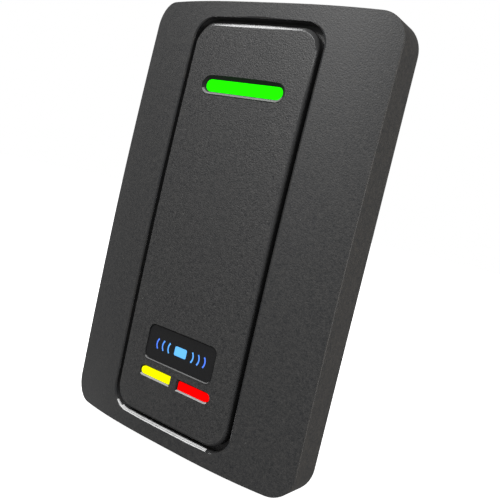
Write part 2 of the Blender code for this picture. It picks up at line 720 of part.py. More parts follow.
def build():
    clear_scene()
    black = plastic("charcoal plastic", (0.055, 0.056, 0.058), 0.55)
    panel_black = plastic("panel plastic", (0.05, 0.051, 0.053), 0.5)
    smoked = plastic("smoked window", (0.012, 0.012, 0.013), 0.25)
    front_housing(black)
    centre_panel(panel_black)
    green_light_pipe(plastic("green light", (0.02, 0.85, 0.0), 0.3))
    pair_light_pipe("amber_light_pipe", -1, plastic("amber light", (0.95, 0.85, 0.0), 0.3))
    pair_light_pipe("red_light_pipe", 1, plastic("red light", (0.9, 0.0, 0.0), 0.3))
    badge_plate(smoked)
    badge_diffuser(plastic("blue light", (0.1, 0.35, 1.0), 0.4))
    threaded_insert(plastic("brass", (0.72, 0.52, 0.22), 0.3, 1.0))
    steel = plastic("steel", (0.5, 0.5, 0.5), 0.35, 1.0)
    set_origin(security_screw(steel), (0, GRUB_Y, GRUB_TOP))

    base_plate(plastic("base plastic", (0.04, 0.04, 0.042), 0.6))
    wall_gasket(plastic("foam", (0.03, 0.03, 0.03), 0.95))
    cable_grommet(plastic("rubber", (0.02, 0.02, 0.02), 0.8))
    circuit_board(plastic("laminate", (0.01, 0.16, 0.06), 0.4))
    for row, z in (("top", PILLAR_Z), ("bottom", -PILLAR_Z)):
        for column, x in (("left", -PILLAR_X), ("right", PILLAR_X)):
            board_screw(f"board_screw_{row}_{column}", x, z, steel)
    antenna_coil(plastic("enamelled copper", (0.55, 0.22, 0.08), 0.35, 1.0))
    epoxy = plastic("moulded epoxy", (0.02, 0.02, 0.022), 0.6)
    chip("microcontroller", 0.002, 0.006, 0.010, 0.010, 0.0011, epoxy)
    chip("radio_chip", 0.019, 0.010, 0.007, 0.007, 0.0010, epoxy)
    chip("clock_crystal", 0.0115, 0.006, 0.0032, 0.005, 0.0010, steel)
    chip("voltage_regulator", -0.018, -0.014, 0.0065, 0.006, 0.0015, epoxy)
    tantalum = plastic("tantalum case", (0.75, 0.45, 0.05), 0.5)
    chip("supply_capacitor", -0.018, -0.024, 0.0073, 0.0043, 0.0015, tantalum)
    chip("tuning_capacitor", 0.019, 0.0200, 0.0058, 0.0032, 0.0013, tantalum)
    buzzer(epoxy)
    lamp_green = plastic("green lamp", (0.3, 0.9, 0.3), 0.3)
    for number, x in enumerate((-0.0090, -0.0036, 0.0036, 0.0090)):
        light(f"green_led_{number + 1}", x, GREEN_Z, lamp_green)
    light("amber_led", -0.0072, PAIR_Z, plastic("amber lamp", (0.95, 0.75, 0.2), 0.3))
    light("red_led", 0.0072, PAIR_Z, plastic("red lamp", (0.9, 0.2, 0.15), 0.3))
    lamp_blue = plastic("blue lamp", (0.3, 0.5, 0.95), 0.3)
    light("blue_led_left", BADGE_X - 0.0042, BADGE_Z, lamp_blue)
    light("blue_led_right", BADGE_X + 0.0042, BADGE_Z, lamp_blue)
    wire_connector(plastic("nylon", (0.8, 0.78, 0.7), 0.5))
    tamper_switch(epoxy)
    set_origin(tamper_plunger(plastic("acetal", (0.85, 0.85, 0.82), 0.4)), (TAMPER_X, 0, TAMPER_Z))
    tamper_spring(steel)


build()
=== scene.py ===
import functools
import math

import bmesh
import bpy
from mathutils import Matrix, Vector


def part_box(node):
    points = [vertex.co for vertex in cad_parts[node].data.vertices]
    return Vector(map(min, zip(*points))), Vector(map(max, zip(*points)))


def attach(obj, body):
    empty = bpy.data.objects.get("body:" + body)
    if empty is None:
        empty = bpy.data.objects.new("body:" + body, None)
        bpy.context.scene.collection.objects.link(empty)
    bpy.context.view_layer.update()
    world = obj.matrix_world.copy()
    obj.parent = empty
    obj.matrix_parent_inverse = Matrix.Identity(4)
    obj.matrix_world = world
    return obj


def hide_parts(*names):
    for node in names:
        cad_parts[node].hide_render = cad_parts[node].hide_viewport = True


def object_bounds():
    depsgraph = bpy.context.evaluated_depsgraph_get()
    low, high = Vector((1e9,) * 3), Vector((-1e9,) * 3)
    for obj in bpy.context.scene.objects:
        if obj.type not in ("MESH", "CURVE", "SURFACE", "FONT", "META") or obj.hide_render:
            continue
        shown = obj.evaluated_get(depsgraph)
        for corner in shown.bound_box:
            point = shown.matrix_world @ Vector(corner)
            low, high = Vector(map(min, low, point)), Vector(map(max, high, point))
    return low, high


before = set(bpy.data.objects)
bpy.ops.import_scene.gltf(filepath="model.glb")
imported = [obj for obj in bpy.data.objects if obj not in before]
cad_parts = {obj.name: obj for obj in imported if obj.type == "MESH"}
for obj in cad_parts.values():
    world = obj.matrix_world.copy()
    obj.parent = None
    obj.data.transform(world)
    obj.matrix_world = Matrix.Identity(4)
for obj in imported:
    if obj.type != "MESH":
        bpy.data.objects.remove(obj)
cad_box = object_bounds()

# The wall base: a shallow tray moulded in black ABS, with pillars for the board, two slots for the
# wall screws and a cable hole. Its edges are broken by a small radius where the mould halves were
# eased, and its faces carry a plain satin finish with faint flow marks.


class Value:
    """A socket in a finish. Arithmetic on it adds Math nodes to that finish."""

    def __init__(self, finish, socket):
        self.finish = finish
        self.socket = socket

    def worked(self, operation, *terms):
        return self.finish.node("ShaderNodeMath", {"operation": operation}, dict(enumerate(terms)))

    def __add__(self, other):
        return self.worked("ADD", self, other)

    def __sub__(self, other):
        return self.worked("SUBTRACT", self, other)

    def __rsub__(self, other):
        return self.worked("SUBTRACT", other, self)

    def __mul__(self, other):
        return self.worked("MULTIPLY", self, other)

    def __lt__(self, other):
        return self.worked("LESS_THAN", self, other)

    def __abs__(self):
        return self.worked("ABSOLUTE", self)

    __radd__ = __add__
    __rmul__ = __mul__


class Finish:
    """A moulded, plated or printed finish, as nodes. Plain settings go straight on the shader."""

    def __init__(self, name, colour, **settings):
        self.material = bpy.data.materials.new(name)
        self.material.use_nodes = True
        self.tree = self.material.node_tree
        self.shader = self.tree.nodes["Principled BSDF"]
        self.colour = (*colour, 1.0)
        self.shader.inputs["Base Color"].default_value = self.colour
        self.material.diffuse_color = self.colour
        for setting, value in settings.items():
            self.shader.inputs[setting.replace("_", " ")].default_value = value
        self.place = self.node("ShaderNodeTexCoord", output="Object")

    def node(self, kind, settings=(), inputs=(), output=0):
        """Adds one node, with its settings and inputs, and gives one of its outputs."""
        made = self.tree.nodes.new(kind)
        for name, value in dict(settings).items():
            setattr(made, name, value)
        for name, value in dict(inputs).items():
            self.link(made.inputs[name], value)
        return Value(self, made.outputs[output])

    def link(self, socket, value):
        if isinstance(value, Value):
            self.tree.links.new(value.socket, socket)
        else:
            socket.default_value = value

    def feed(self, name, value):
        self.link(self.shader.inputs[name], value)

    def noise(self, size, detail=2.0, roughness=0.5):
        """Noise from 0 to 1 whose grains are about size metres across."""
        inputs = {"Vector": self.place, "Scale": 1 / size, "Detail": detail, "Roughness": roughness}
        return self.node("ShaderNodeTexNoise", inputs=inputs)

    def between(self, value, low, high):
        """Value spread so that low becomes 0 and high becomes 1."""
        inputs = {"Value": value, "From Min": low, "From Max": high}
        return self.node("ShaderNodeMapRange", inputs=inputs)

    def mix(self, factor, first, second):
        """A colour that goes from first to second with factor."""
        settings = {"data_type": "RGBA"}
        return self.node("ShaderNodeMix", settings, {0: factor, 6: first, 7: second}, output=2)

    def shaded(self, factor, depth=1.0):
        """The finish's own colour, made lighter or darker by factor."""
        brighter = tuple(min(c * (1 + depth), 1.0) for c in self.colour[:3])
        darker = tuple(c / (1 + depth) for c in self.colour[:3])
        return self.mix(factor, (*darker, 1.0), (*brighter, 1.0))

    def mottle(self, size, depth, detail=2.0):
        """Varies the colour in patches about size metres across, and gives their noise."""
        patches = self.noise(size, detail)
        self.feed("Base Color", self.shaded(patches, depth))
        return patches

    def relief(self, height, depth):
        """Surface relief that is depth metres from its lowest to its highest."""
        inputs = {"Height": height, "Distance": depth, "Strength": 1.0}
        self.feed("Normal", self.node("ShaderNodeBump", inputs=inputs))

    def axes(self):
        """Where a point of the piece lies: across, in depth and in height."""
        split = self.node("ShaderNodeSeparateXYZ", inputs={0: self.place}).socket.node
        return [Value(self, socket) for socket in split.outputs]


def dress(piece, finish):
    """Gives a piece one finish all over."""
    piece.data.materials.clear()
    piece.data.materials.append(finish.material)
    return piece


def shown(name, mesh, body, replaces=()):
    """Links a finished mesh as a piece of the object."""
    piece = bpy.data.objects.new(name, mesh)
    bpy.context.scene.collection.objects.link(piece)
    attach(piece, body)
    if replaces:
        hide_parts(*replaces)
    return piece


def settled(piece):
    """Replaces a piece's mesh with what its modifiers make of it."""
    graph = bpy.context.evaluated_depsgraph_get()
    mesh = bpy.data.meshes.new_from_object(piece.evaluated_get(graph))
    piece.modifiers.clear()
    piece.data = mesh
    return piece


def meshed(bm, name):
    """Ends the work on a mesh and hands it over."""
    mesh = bpy.data.meshes.new(name)
    bm.to_mesh(mesh)
    bm.free()
    return mesh


WELD = 0.000004
LEVEL = math.radians(1.0)
EDGE_TURN = math.radians(38)
CREASE_TURN = math.radians(40)


def eased(node, name, body, finish, radius, steps=2, flat=False):
    """The moulded or pressed form of a CAD node: the same solid with every edge rounded."""
    bm = bmesh.new()
    bm.from_mesh(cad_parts[node].data)
    bmesh.ops.remove_doubles(bm, verts=bm.verts, dist=WELD)
    bmesh.ops.dissolve_limit(bm, angle_limit=LEVEL, verts=bm.verts, edges=bm.edges)
    piece = dress(shown(name, meshed(bm, name), body, [node]), finish)
    rounding = piece.modifiers.new("edges", "BEVEL")
    rounding.width = radius
    rounding.segments = steps
    rounding.limit_method = "ANGLE"
    rounding.angle_limit = EDGE_TURN
    settled(piece)
    if flat:
        piece.data.shade_flat()
        return piece
    piece.data.shade_smooth()
    piece.data.set_sharp_from_angle(angle=CREASE_TURN)
    flats = piece.modifiers.new("flats", "WEIGHTED_NORMAL")
    flats.keep_sharp = True
    return settled(piece)


base_finish = Finish("base_plastic", (0.024, 0.024, 0.026), Roughness=0.5)
base_finish.mottle(0.012, 0.25, 3.0)
base_finish.feed("Roughness", 0.44 + base_finish.noise(0.0008) * 0.16)
base_finish.relief(base_finish.noise(0.00035, 3.0), 0.000012)
eased("base_plate", "wall_base", "base", base_finish, 0.00018)

# The wall gasket: a ring of closed-cell foam, die-cut from sheet and glued into a groove in the
# base's back, where it takes up an uneven wall.
FOAM_CELL = 0.0005
foam = Finish("closed_cell_foam", (0.022, 0.022, 0.023), Roughness=0.95)
cells = foam.node("ShaderNodeTexVoronoi", inputs={"Vector": foam.place, "Scale": 1 / FOAM_CELL})
foam.feed("Base Color", foam.shaded(cells, 0.5))
foam.relief(cells, 0.00008)
dress(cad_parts["wall_gasket"], foam)

# The cable grommet: a bush moulded in soft black rubber, snapped into the base's cable hole from
# inside, with the bloom and dull skin that rubber takes on.
rubber = Finish("soft_rubber", (0.016, 0.016, 0.017), Roughness=0.7)
bloom = rubber.mottle(0.0016, 0.5, 4.0)
rubber.feed("Roughness", 0.6 + bloom * 0.25)
rubber.relief(rubber.noise(0.0003), 0.00001)
eased("cable_grommet", "cable_bush", "base", rubber, 0.0003, 3)

# The aerial: some sixty turns of enamelled copper wire, wound on a former, bonded into a flat band
# and laid in the tray behind the board's edge.
COIL_WIRE = 0.0003
wire = Finish("enamelled_copper", (0.62, 0.24, 0.09), Roughness=0.32, Metallic=1.0)
across, _, height = wire.axes()
phase = (abs(across) + abs(height)) * (math.tau / COIL_WIRE)
turns = wire.node("ShaderNodeMath", {"operation": "SINE"}, {0: phase})
wire.mottle(0.003, 0.25, 3.0)
wire.relief(turns * 0.5 + 0.5, 0.00006)
dress(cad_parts["antenna_coil"], wire)

# The circuit board: glass-fibre laminate under green solder resist, drilled and routed, held to
# four pillars of the base by small screws.
laminate = Finish("green_resist", (0.008, 0.105, 0.042), Roughness=0.42, Coat_Weight=0.1)
WEAVE_SCALE = 900.0
threads = {"Vector": laminate.place, "Scale": WEAVE_SCALE}
warp, weft = (
    laminate.node("ShaderNodeTexWave", {"bands_direction": axis}, threads) for axis in "XZ"
)
weave = warp * weft
laminate.feed("Base Color", laminate.shaded(laminate.noise(0.006, 4.0) * 0.7 + weave * 0.3, 0.35))
laminate.feed("Roughness", 0.38 + laminate.noise(0.002) * 0.14)
laminate.relief(weave, 0.000006)
dress(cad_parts["circuit_board"], laminate)

# The board screws: zinc-plated pan heads with a cross slot, rolled and plated in bulk, so each
# one carries fine scuffs.
zinc = Finish("zinc_plate", (0.56, 0.57, 0.58), Roughness=0.34, Metallic=1.0)
scuffs = zinc.noise(0.0004, 5.0, 0.7)
zinc.feed("Base Color", zinc.shaded(scuffs, 0.2))
zinc.feed("Roughness", 0.24 + scuffs * 0.25)
zinc.relief(scuffs, 0.000006)
for row in ("top", "bottom"):
    for column in ("left", "right"):
        name = f"{row}_{column}"
        eased(f"board_screw_{name}", f"pan_screw_{name}", "base", zinc, 0.0001)

# The chips and coils on the board: bodies of black moulding compound, a plated crystal can and two
# orange capacitors, each eased by its mould or press.
epoxy = Finish("moulding_compound", (0.018, 0.018, 0.02), Roughness=0.55)
grit = epoxy.mottle(0.00018, 0.45, 3.0)
epoxy.relief(grit, 0.000012)
tantalum = Finish("orange_case", (0.78, 0.40, 0.045), Roughness=0.42)
tantalum.mottle(0.0007, 0.12, 3.0)
tantalum.relief(tantalum.noise(0.0002), 0.000006)
for node, name in (
    ("microcontroller", "controller_body"),
    ("radio_chip", "radio_body"),
    ("voltage_regulator", "regulator_body"),
    ("buzzer", "sounder_can"),
    ("tamper_switch", "switch_case"),
):
    eased(node, name, "base", epoxy, 0.00014)
eased("clock_crystal", "crystal_can", "base", zinc, 0.00035, 4)
eased("supply_capacitor", "supply_can", "base", tantalum, 0.0002)
eased("tuning_capacitor", "tuning_can", "base", tantalum, 0.0002)

# The leads: bent strips of tinned copper alloy that carry each chip, with the solder pads that they
# stand on. Small parts without leads are soldered by their ends.
BOARD_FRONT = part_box("circuit_board")[0][1]
PAD = 0.00004
PAD_LENGTH = 0.0009
LEAD_WIDTH = 0.00028
LEAD_THICKNESS = 0.00012
LEAD_REACH = (-0.0001, 0.00028, 0.0005, 0.00058, 0.00105)


def add_strip(bm, sections, closed=False):
    """Adds a solid strip through cross-sections of equal point count."""
    rows = [[bm.verts.new(point) for point in section] for section in sections]
    count = len(rows[0])
    for row, following in zip(rows, rows[1:] + rows[:1] if closed else rows[1:]):
        for i in range(count):
            j = (i + 1) % count
            bm.faces.new((row[i], row[j], following[j], following[i]))
    if not closed:
        bm.faces.new(rows[0])
        bm.faces.new(rows[-1])


def placed(bm, name, body, finish):
    """Links a mesh under work as a piece, with its faces outwards and its creases kept."""
    bmesh.ops.recalc_face_normals(bm, faces=bm.faces)
    mesh = meshed(bm, name)
    mesh.shade_smooth()
    mesh.set_sharp_from_angle(angle=CREASE_TURN)
    return dress(shown(name, mesh, body), finish)


def add_block(bm, x, z, width, height, back, front):
    """Adds a small solid block centred at (x, z), from its back depth to its front."""
    sections = []
    for y in (back, front):
        left, right, foot, top = x - width / 2, x + width / 2, z - height / 2, z + height / 2
        sections.append([(left, y, foot), (right, y, foot), (right, y, top), (left, y, top)])
    add_strip(bm, sections)


def add_lead(bm, start, out, body_y):
    """Adds one bent lead from the side of a chip to the board, with its pad."""
    aside = Vector((out.z, 0.0, -out.x)) * (LEAD_WIDTH / 2)
    thick = Vector((0.0, -LEAD_THICKNESS, 0.0))
    foot_y = BOARD_FRONT - PAD
    levels = (body_y, body_y, foot_y - LEAD_THICKNESS, foot_y, foot_y)
    sections = []
    for reach, y in zip(LEAD_REACH, levels):
        here = start + out * reach
        here.y = y
        sections.append((here - aside, here + aside, here + aside + thick, here - aside + thick))
    add_strip(bm, sections)
    pad = start + out * PAD_LENGTH
    width = PAD_LENGTH if out.x else LEAD_WIDTH * 1.5
    height = PAD_LENGTH if out.z else LEAD_WIDTH * 1.5
    add_block(bm, pad.x, pad.z, width, height, BOARD_FRONT + PAD, BOARD_FRONT - PAD)


def middle_of(node):
    low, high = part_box(node)
    return (Vector(low) + Vector(high)) / 2


tin = Finish("tinned_lead", (0.68, 0.68, 0.67), Roughness=0.3, Metallic=1.0)
solder = tin.mottle(0.0004, 0.2, 4.0)
tin.feed("Roughness", 0.22 + solder * 0.2)
tin.relief(solder, 0.00001)
CONTROLLER_PITCH = 0.00075
RADIO_PITCH = 0.0008
SIDES = {"left": (-1, 0, 0), "right": (1, 0, 0), "top": (0, 0, 1), "foot": (0, 0, -1)}
LEADS = (
    ("microcontroller", "controller_leads", 12, CONTROLLER_PITCH, ("left", "right", "top", "foot")),
    ("radio_chip", "radio_leads", 8, RADIO_PITCH, ("left", "right")),
    ("voltage_regulator", "regulator_leads", 3, 0.0022, ("foot", "top")),
)
for node, name, count, pitch, sides in LEADS:
    low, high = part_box(node)
    middle = middle_of(node)
    bm = bmesh.new()
    for side in sides:
        out = Vector(SIDES[side])
        along = Vector((abs(out.z), 0.0, abs(out.x)))
        edge = middle + out * ((high[0] - low[0] if out.x else high[2] - low[2]) / 2)
        for way in range(count):
            start = edge + along * ((way - (count - 1) / 2) * pitch)
            add_lead(bm, start, out, middle.y + 0.0001)
    placed(bm, name, "base", tin)
END_REACH = 0.0004
END_SHARE = 0.6
END_HEIGHT = 0.00055
ENDED_UPRIGHT = ("tamper_switch", "clock_crystal")
ENDED = ["buzzer", *ENDED_UPRIGHT, "supply_capacitor", "tuning_capacitor", "amber_led", "red_led"]
ENDED += ["blue_led_left", "blue_led_right", *(f"green_led_{place}" for place in (1, 2, 3, 4))]
for node in ENDED:
    low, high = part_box(node)
    middle = middle_of(node)
    bm = bmesh.new()
    for edge in (low, high):
        place = (edge[0], middle.z, END_REACH * 2, (high[2] - low[2]) * END_SHARE)
        if node in ENDED_UPRIGHT:
            place = (middle.x, edge[2], (high[0] - low[0]) * END_SHARE, END_REACH * 2)
        add_block(bm, *place, BOARD_FRONT + PAD, BOARD_FRONT - END_HEIGHT)
    piece = placed(bm, f"{node}_ends", "base", tin)
    rounding = piece.modifiers.new("solder", "BEVEL")
    rounding.width = 0.00012
    rounding.segments = 2
    settled(piece)

# The small resistors and capacitors: ceramic blocks with tinned ends, set in rows beside the chips
# that they serve.
CHIP_LENGTH = 0.0016
CHIP_WIDTH = 0.0008
CHIP_BACK = BOARD_FRONT - PAD
CHIP_FRONT = CHIP_BACK - 0.00045
CAP_LENGTH = 0.00032
CAP_WIDTH = CHIP_WIDTH + 0.00006
CAP_FRONT = CHIP_FRONT - 0.00003
resistor = Finish("resistor_black", (0.02, 0.02, 0.022), Roughness=0.4)
resistor.mottle(0.0003, 0.4)
ceramic = Finish("brown_ceramic", (0.32, 0.20, 0.11), Roughness=0.45)
ceramic.mottle(0.0003, 0.25)
ROWS = (
    ("resistor_bodies", resistor, (0.0093, 0.0023), (0, 0.0017), 5),
    ("upper_resistors", resistor, (-0.0106, 0.0300), (0.0042, 0), 6),
    ("lamp_resistors", resistor, (-0.0050, -0.0380), (0.0040, 0), 4),
    ("controller_ceramics", ceramic, (-0.0055, 0.0020), (0, 0.0017), 5),
    ("radio_ceramics", ceramic, (0.0160, 0.0163), (0.0026, 0), 3),
    ("line_ceramics", ceramic, (-0.0105, -0.0205), (0.0024, 0), 9),
    ("supply_ceramics", ceramic, (-0.0270, -0.0160), (0, 0.0022), 4),
)
caps = bmesh.new()
for name, finish, first, step, count in ROWS:
    bodies = bmesh.new()
    for place in range(count):
        x = first[0] + step[0] * place
        z = first[1] + step[1] * place
        add_block(bodies, x, z, CHIP_LENGTH - CAP_LENGTH * 2, CHIP_WIDTH, CHIP_BACK, CHIP_FRONT)
        for side in (-1, 1):
            cap_x = x + side * (CHIP_LENGTH - CAP_LENGTH) / 2
            add_block(caps, cap_x, z, CAP_LENGTH, CAP_WIDTH, BOARD_FRONT + PAD, CAP_FRONT)
    placed(bodies, name, "base", finish)
placed(caps, "chip_ends", "base", tin)

# The copper tracks: etched copper under the resist, where they show as raised, lighter green lines
# with turns at 45 degrees.
TRACK_WIDTH = 0.0003
TRACK_HEIGHT = 0.00003
WAY_PITCH = 0.00225
BUS_PITCH = 0.0009
HOLE_CLEARANCE = 0.0050
copper = Finish("resist_over_copper", (0.014, 0.20, 0.075), Roughness=0.4, Coat_Weight=0.1)
copper.mottle(0.002, 0.2, 3.0)


def add_track(bm, *points):
    """Adds one flat track through points of the board, with mitred turns."""
    spots = [Vector(point) for point in points]
    back, front = BOARD_FRONT + TRACK_HEIGHT, BOARD_FRONT - TRACK_HEIGHT
    sections = []
    for index, spot in enumerate(spots):
        before = (spot - spots[index - 1]).normalized() if index else None
        after = (spots[index + 1] - spot).normalized() if index + 1 < len(spots) else None
        run = before or after
        half = TRACK_WIDTH / 2
        if before and after:
            run = (before + after).normalized()
            half /= max(run.dot(before), 0.5)
        aside = Vector((-run.y, run.x)) * half
        left, right = spot - aside, spot + aside
        corners = ((left, back), (right, back), (right, front), (left, front))
        sections.append([(place.x, y, place.y) for place, y in corners])
    add_strip(bm, sections)


tracks = bmesh.new()
# From the connector to the controller, except where the cable hole is in the way.
for way in range(10):
    x = -0.0101 + way * WAY_PITCH
    if abs(x) < HOLE_CLEARANCE:
        continue
    top_x = 0.0020 + (way - 4.5) * CONTROLLER_PITCH
    turn = -0.0100 - abs(x - top_x)
    add_track(tracks, (x, -0.0235), (x, turn), (top_x, -0.0100), (top_x, -0.0002))
# From the controller to the radio chip.
for way in range(8):
    z = 0.0072 + way * RADIO_PITCH
    low_z = z - 0.0012
    start = 0.0082 + max(way - 4, 0) * 0.0002
    straight = [(start, low_z)] if way < 7 else []
    add_track(tracks, *straight, (0.0088, low_z), (0.0100, z), (0.0146, z))
# From the controller to the resistors of the upper lamps.
for way in range(6):
    x = -0.0013 + way * CONTROLLER_PITCH
    far = -0.0106 + way * 0.0042
    turn = 0.0155 + abs(far - x)
    add_track(tracks, (x, 0.0122), (x, 0.0155), (far, turn), (far, 0.0292))
# Up the left edge and along the top.
for level in range(5):
    x = -0.0270 - level * BUS_PITCH
    z = 0.0440 - level * BUS_PITCH
    end = -0.0080 - level * BUS_PITCH
    add_track(tracks, (x, -0.0300), (x, z - 0.0030), (x + 0.0030, z), (end, z))
# From the radio chip down the right edge.
for level in range(4):
    x = 0.0262 + level * BUS_PITCH
    z = 0.0085 + level * RADIO_PITCH
    foot_z = -0.0240 - level * 0.001
    add_track(tracks, (0.0236, z), (x - 0.001, z), (x, z - 0.001), (x, foot_z))
# Along the foot, to both sides.
for side in (-1, 1):
    for level in range(3):
        z = -0.0445 - level * BUS_PITCH
        turn = side * (0.0180 + level * 0.0005)
        end = (side * 0.0230, z + 0.0050 - level * 0.0005)
        add_track(tracks, (side * 0.0040, z), (turn, z), end)
placed(tracks, "copper_tracks", "base", copper)

# The printed outlines: white epoxy ink, screened on the board as a plain frame round the place of
# each larger part, to guide its assembly.
INK_LINE = 0.00016
INK_HEIGHT = 0.00005
ink = Finish("white_ink", (0.72, 0.72, 0.68), Roughness=0.6)
ink.mottle(0.0006, 0.15, 4.0)
FRAMED = {
    "microcontroller": 0.0016,
    "radio_chip": 0.0016,
    "voltage_regulator": 0.0015,
    "buzzer": 0.0009,
    "tamper_switch": 0.0009,
    "clock_crystal": 0.0008,
    "supply_capacitor": 0.0009,
    "tuning_capacitor": 0.0009,
    "wire_connector": 0.0006,
}
printed = bmesh.new()
for node, margin in FRAMED.items():
    low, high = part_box(node)
    sections = []
    for side_x, side_z in ((-1, -1), (1, -1), (1, 1), (-1, 1)):
        corner = []
        for grown, y in ((0, 1), (INK_LINE, 1), (INK_LINE, -1), (0, -1)):
            x = (high[0] if side_x > 0 else low[0]) + side_x * (margin + grown)
            z = (high[2] if side_z > 0 else low[2]) + side_z * (margin + grown)
            corner.append((x, BOARD_FRONT + y * INK_HEIGHT, z))
        sections.append(corner)
    add_strip(printed, sections, closed=True)
placed(printed, "printed_frames", "base", ink)

# The lamps: surface-mounted light-emitting diodes, each a chip under cast clear resin. They shine
# through the light pipes of the cover.
LAMPS = {
    "green": ((0.10, 0.85, 0.12), ("green_led_1", "green_led_2", "green_led_3", "green_led_4")),
    "amber": ((0.95, 0.75, 0.05), ("amber_led",)),
    "red": ((0.95, 0.06, 0.04), ("red_led",)),
    "blue": ((0.12, 0.35, 1.0), ("blue_led_left", "blue_led_right")),
}
for hue, (colour, nodes) in LAMPS.items():
    resin = Finish(f"{hue}_resin", colour, Roughness=0.18, Coat_Weight=0.5, Emission_Strength=0.9)
    resin.feed("Emission Color", resin.shaded(resin.mottle(0.0005, 0.2), 0.3))
    for node in nodes:
        eased(node, node.replace("_led", "_lamp"), "base", resin, 0.00012)

# The wire connector: a housing moulded in natural nylon with ten ways, each with a tinned pin, into
# which the leads from the cable hole are plugged.
nylon = Finish("natural_nylon", (0.74, 0.71, 0.60), Roughness=0.42, Subsurface_Weight=0.15)
nylon.mottle(0.003, 0.08, 3.0)
nylon.relief(nylon.noise(0.0004), 0.000008)
eased("wire_connector", "connector_body", "base", nylon, 0.00012)
pins = bmesh.new()
openings = bmesh.new()
connector_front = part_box("wire_connector")[0][1]
middle_z = middle_of("wire_connector").z
for way in range(10):
    x = (way - 4.5) * WAY_PITCH
    tip = (connector_front + 0.0002, connector_front - 0.0003)
    mouth = (connector_front + 0.0001, connector_front - 0.00005)
    add_block(pins, x, middle_z, 0.0006, 0.0006, *tip)
    add_block(openings, x, middle_z, 0.0015, 0.0026, *mouth)
placed(pins, "connector_pins", "base", tin)
dark_ways = Finish("way_opening", (0.03, 0.028, 0.024), Roughness=0.7)
dark_ways.mottle(0.0005, 0.3)
placed(openings, "connector_ways", "base", dark_ways)

# The tamper plunger and its spring: white acetal, turned, on a coil of thin steel wire. The wall
# holds the plunger in.
acetal = Finish("white_acetal", (0.80, 0.80, 0.77), Roughness=0.35)
acetal.relief(acetal.mottle(0.0006, 0.06, 3.0), 0.000008)
eased("tamper_plunger", "plunger_pin", "tamper_plunger", acetal, 0.00022, 3)
dress(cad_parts["tamper_spring"], zinc)

# The front housing: one shell moulded in charcoal plastic, drafted on its sides, arched on its
# front, with a recess for the centre panel. The front and sides are spark-textured in the mould;
# the recess and every radius are polished.
GAP = 0.0003
HALF_WIDTH = 0.03875
HALF_HEIGHT = 0.0595
CORNER_RADIUS = 0.0084
WALL_DRAFT = 0.07
CORNER_TAPER = 0.24
EDGE_DEPTH = 0.00775
ARCH_LONG = 0.00128
ARCH_ACROSS = 0.00484
ARCH_LONG_POWER = 1.8
ARCH_ACROSS_POWER = 2.73
FACE_HALF_WIDTH = HALF_WIDTH - WALL_DRAFT * EDGE_DEPTH
FACE_HALF_HEIGHT = HALF_HEIGHT - WALL_DRAFT * EDGE_DEPTH
HOUSING_WALL = 0.002
RECESS = (0.0201, 0.05435, 0.006)
RECESS_FLOOR = -0.0092
FLOOR_BACK = -0.0078
OUTER_RADIUS = 0.00022
RECESS_EDGE = (0.0006, 0.0006)
RECESS_FOOT_EDGE = (0.0006, 0.0003)


def face_y(x, z, lift=0.0):
    across = min(abs(x) / FACE_HALF_WIDTH, 1.0) ** ARCH_ACROSS_POWER
    along = min(abs(z) / FACE_HALF_HEIGHT, 1.0) ** ARCH_LONG_POWER
    return -(EDGE_DEPTH + ARCH_LONG * (1 - along) + ARCH_ACROSS * (1 - across) + lift)


def face_normal(x, z):
    """The direction in which the arched front faces at (x, z)."""
    x_share = min(abs(x) / FACE_HALF_WIDTH, 1.0)
    z_share = min(abs(z) / FACE_HALF_HEIGHT, 1.0)
    fall_x = ARCH_ACROSS * ARCH_ACROSS_POWER / FACE_HALF_WIDTH * x_share ** (ARCH_ACROSS_POWER - 1)
    fall_z = ARCH_LONG * ARCH_LONG_POWER / FACE_HALF_HEIGHT * z_share ** (ARCH_LONG_POWER - 1)
    return Vector((math.copysign(fall_x, x), -1.0, math.copysign(fall_z, z))).normalized()


OUTLINE_STEPS = (12, 18, 44)
MIRRORED = OUTLINE_STEPS[0] * 2 + OUTLINE_STEPS[1]


@functools.cache
def outline(half_width, half_height, radius, x=0.0, z=0.0, steps=OUTLINE_STEPS):
    """A rectangle with round corners, with steps for a corner, a level and an upright side."""
    arc, level, upright = steps
    points = []
    sides = ((1, 1, level), (-1, 1, upright), (-1, -1, level), (1, -1, upright))
    for quarter, (side_x, side_z, between) in enumerate(sides):
        middle_x = x + side_x * (half_width - radius)
        middle_z = z + side_z * (half_height - radius)
        for step in range(arc + 1):
            turn = (quarter + step / arc) * math.pi / 2
            points.append((middle_x + radius * math.cos(turn), middle_z + radius * math.sin(turn)))
        next_x, next_z, _ = sides[(quarter + 1) % 4]
        ahead = Vector((x + next_x * (half_width - radius), z + next_z * half_height))
        if quarter % 2:
            ahead = Vector((x + next_x * half_width, z + next_z * (half_height - radius)))
        here = Vector(points[-1])
        for step in range(1, between):
            points.append(tuple(here.lerp(ahead, step / between)))
    return points


def wall_point(index, depth, inset=0.0):
    """A point of the housing's drafted side at a depth from the wall, inset from its outside."""
    lean = WALL_DRAFT * depth + inset
    radius = CORNER_RADIUS - CORNER_TAPER * depth - inset / 2
    sizes = (HALF_WIDTH - lean, HALF_HEIGHT - lean, radius)
    x, z = outline(*(round(size, 9) for size in sizes))[index]
    return Vector((x, -depth, z))


def wall_meets_face(index, inset=0.0, lift=0.0):
    """Depth at which the drafted side runs into the arched front."""
    depth = EDGE_DEPTH
    for _ in range(5):
        point = wall_point(index, depth, inset)
        depth = round(-face_y(point.x, point.z, lift), 7)
    return depth


def bend(start, corner, end, steps, flatness=0.0):
    """Points of a small radius that leaves start, turns at corner and arrives at end. A flatness of
    1 makes it a straight chamfer."""
    turned = []
    corner = corner.lerp((start + end) / 2, flatness)
    for step in range(1, steps):
        t = step / steps
        turned.append(start * (1 - t) ** 2 + corner * (2 * t * (1 - t)) + end * t**2)
    return turned


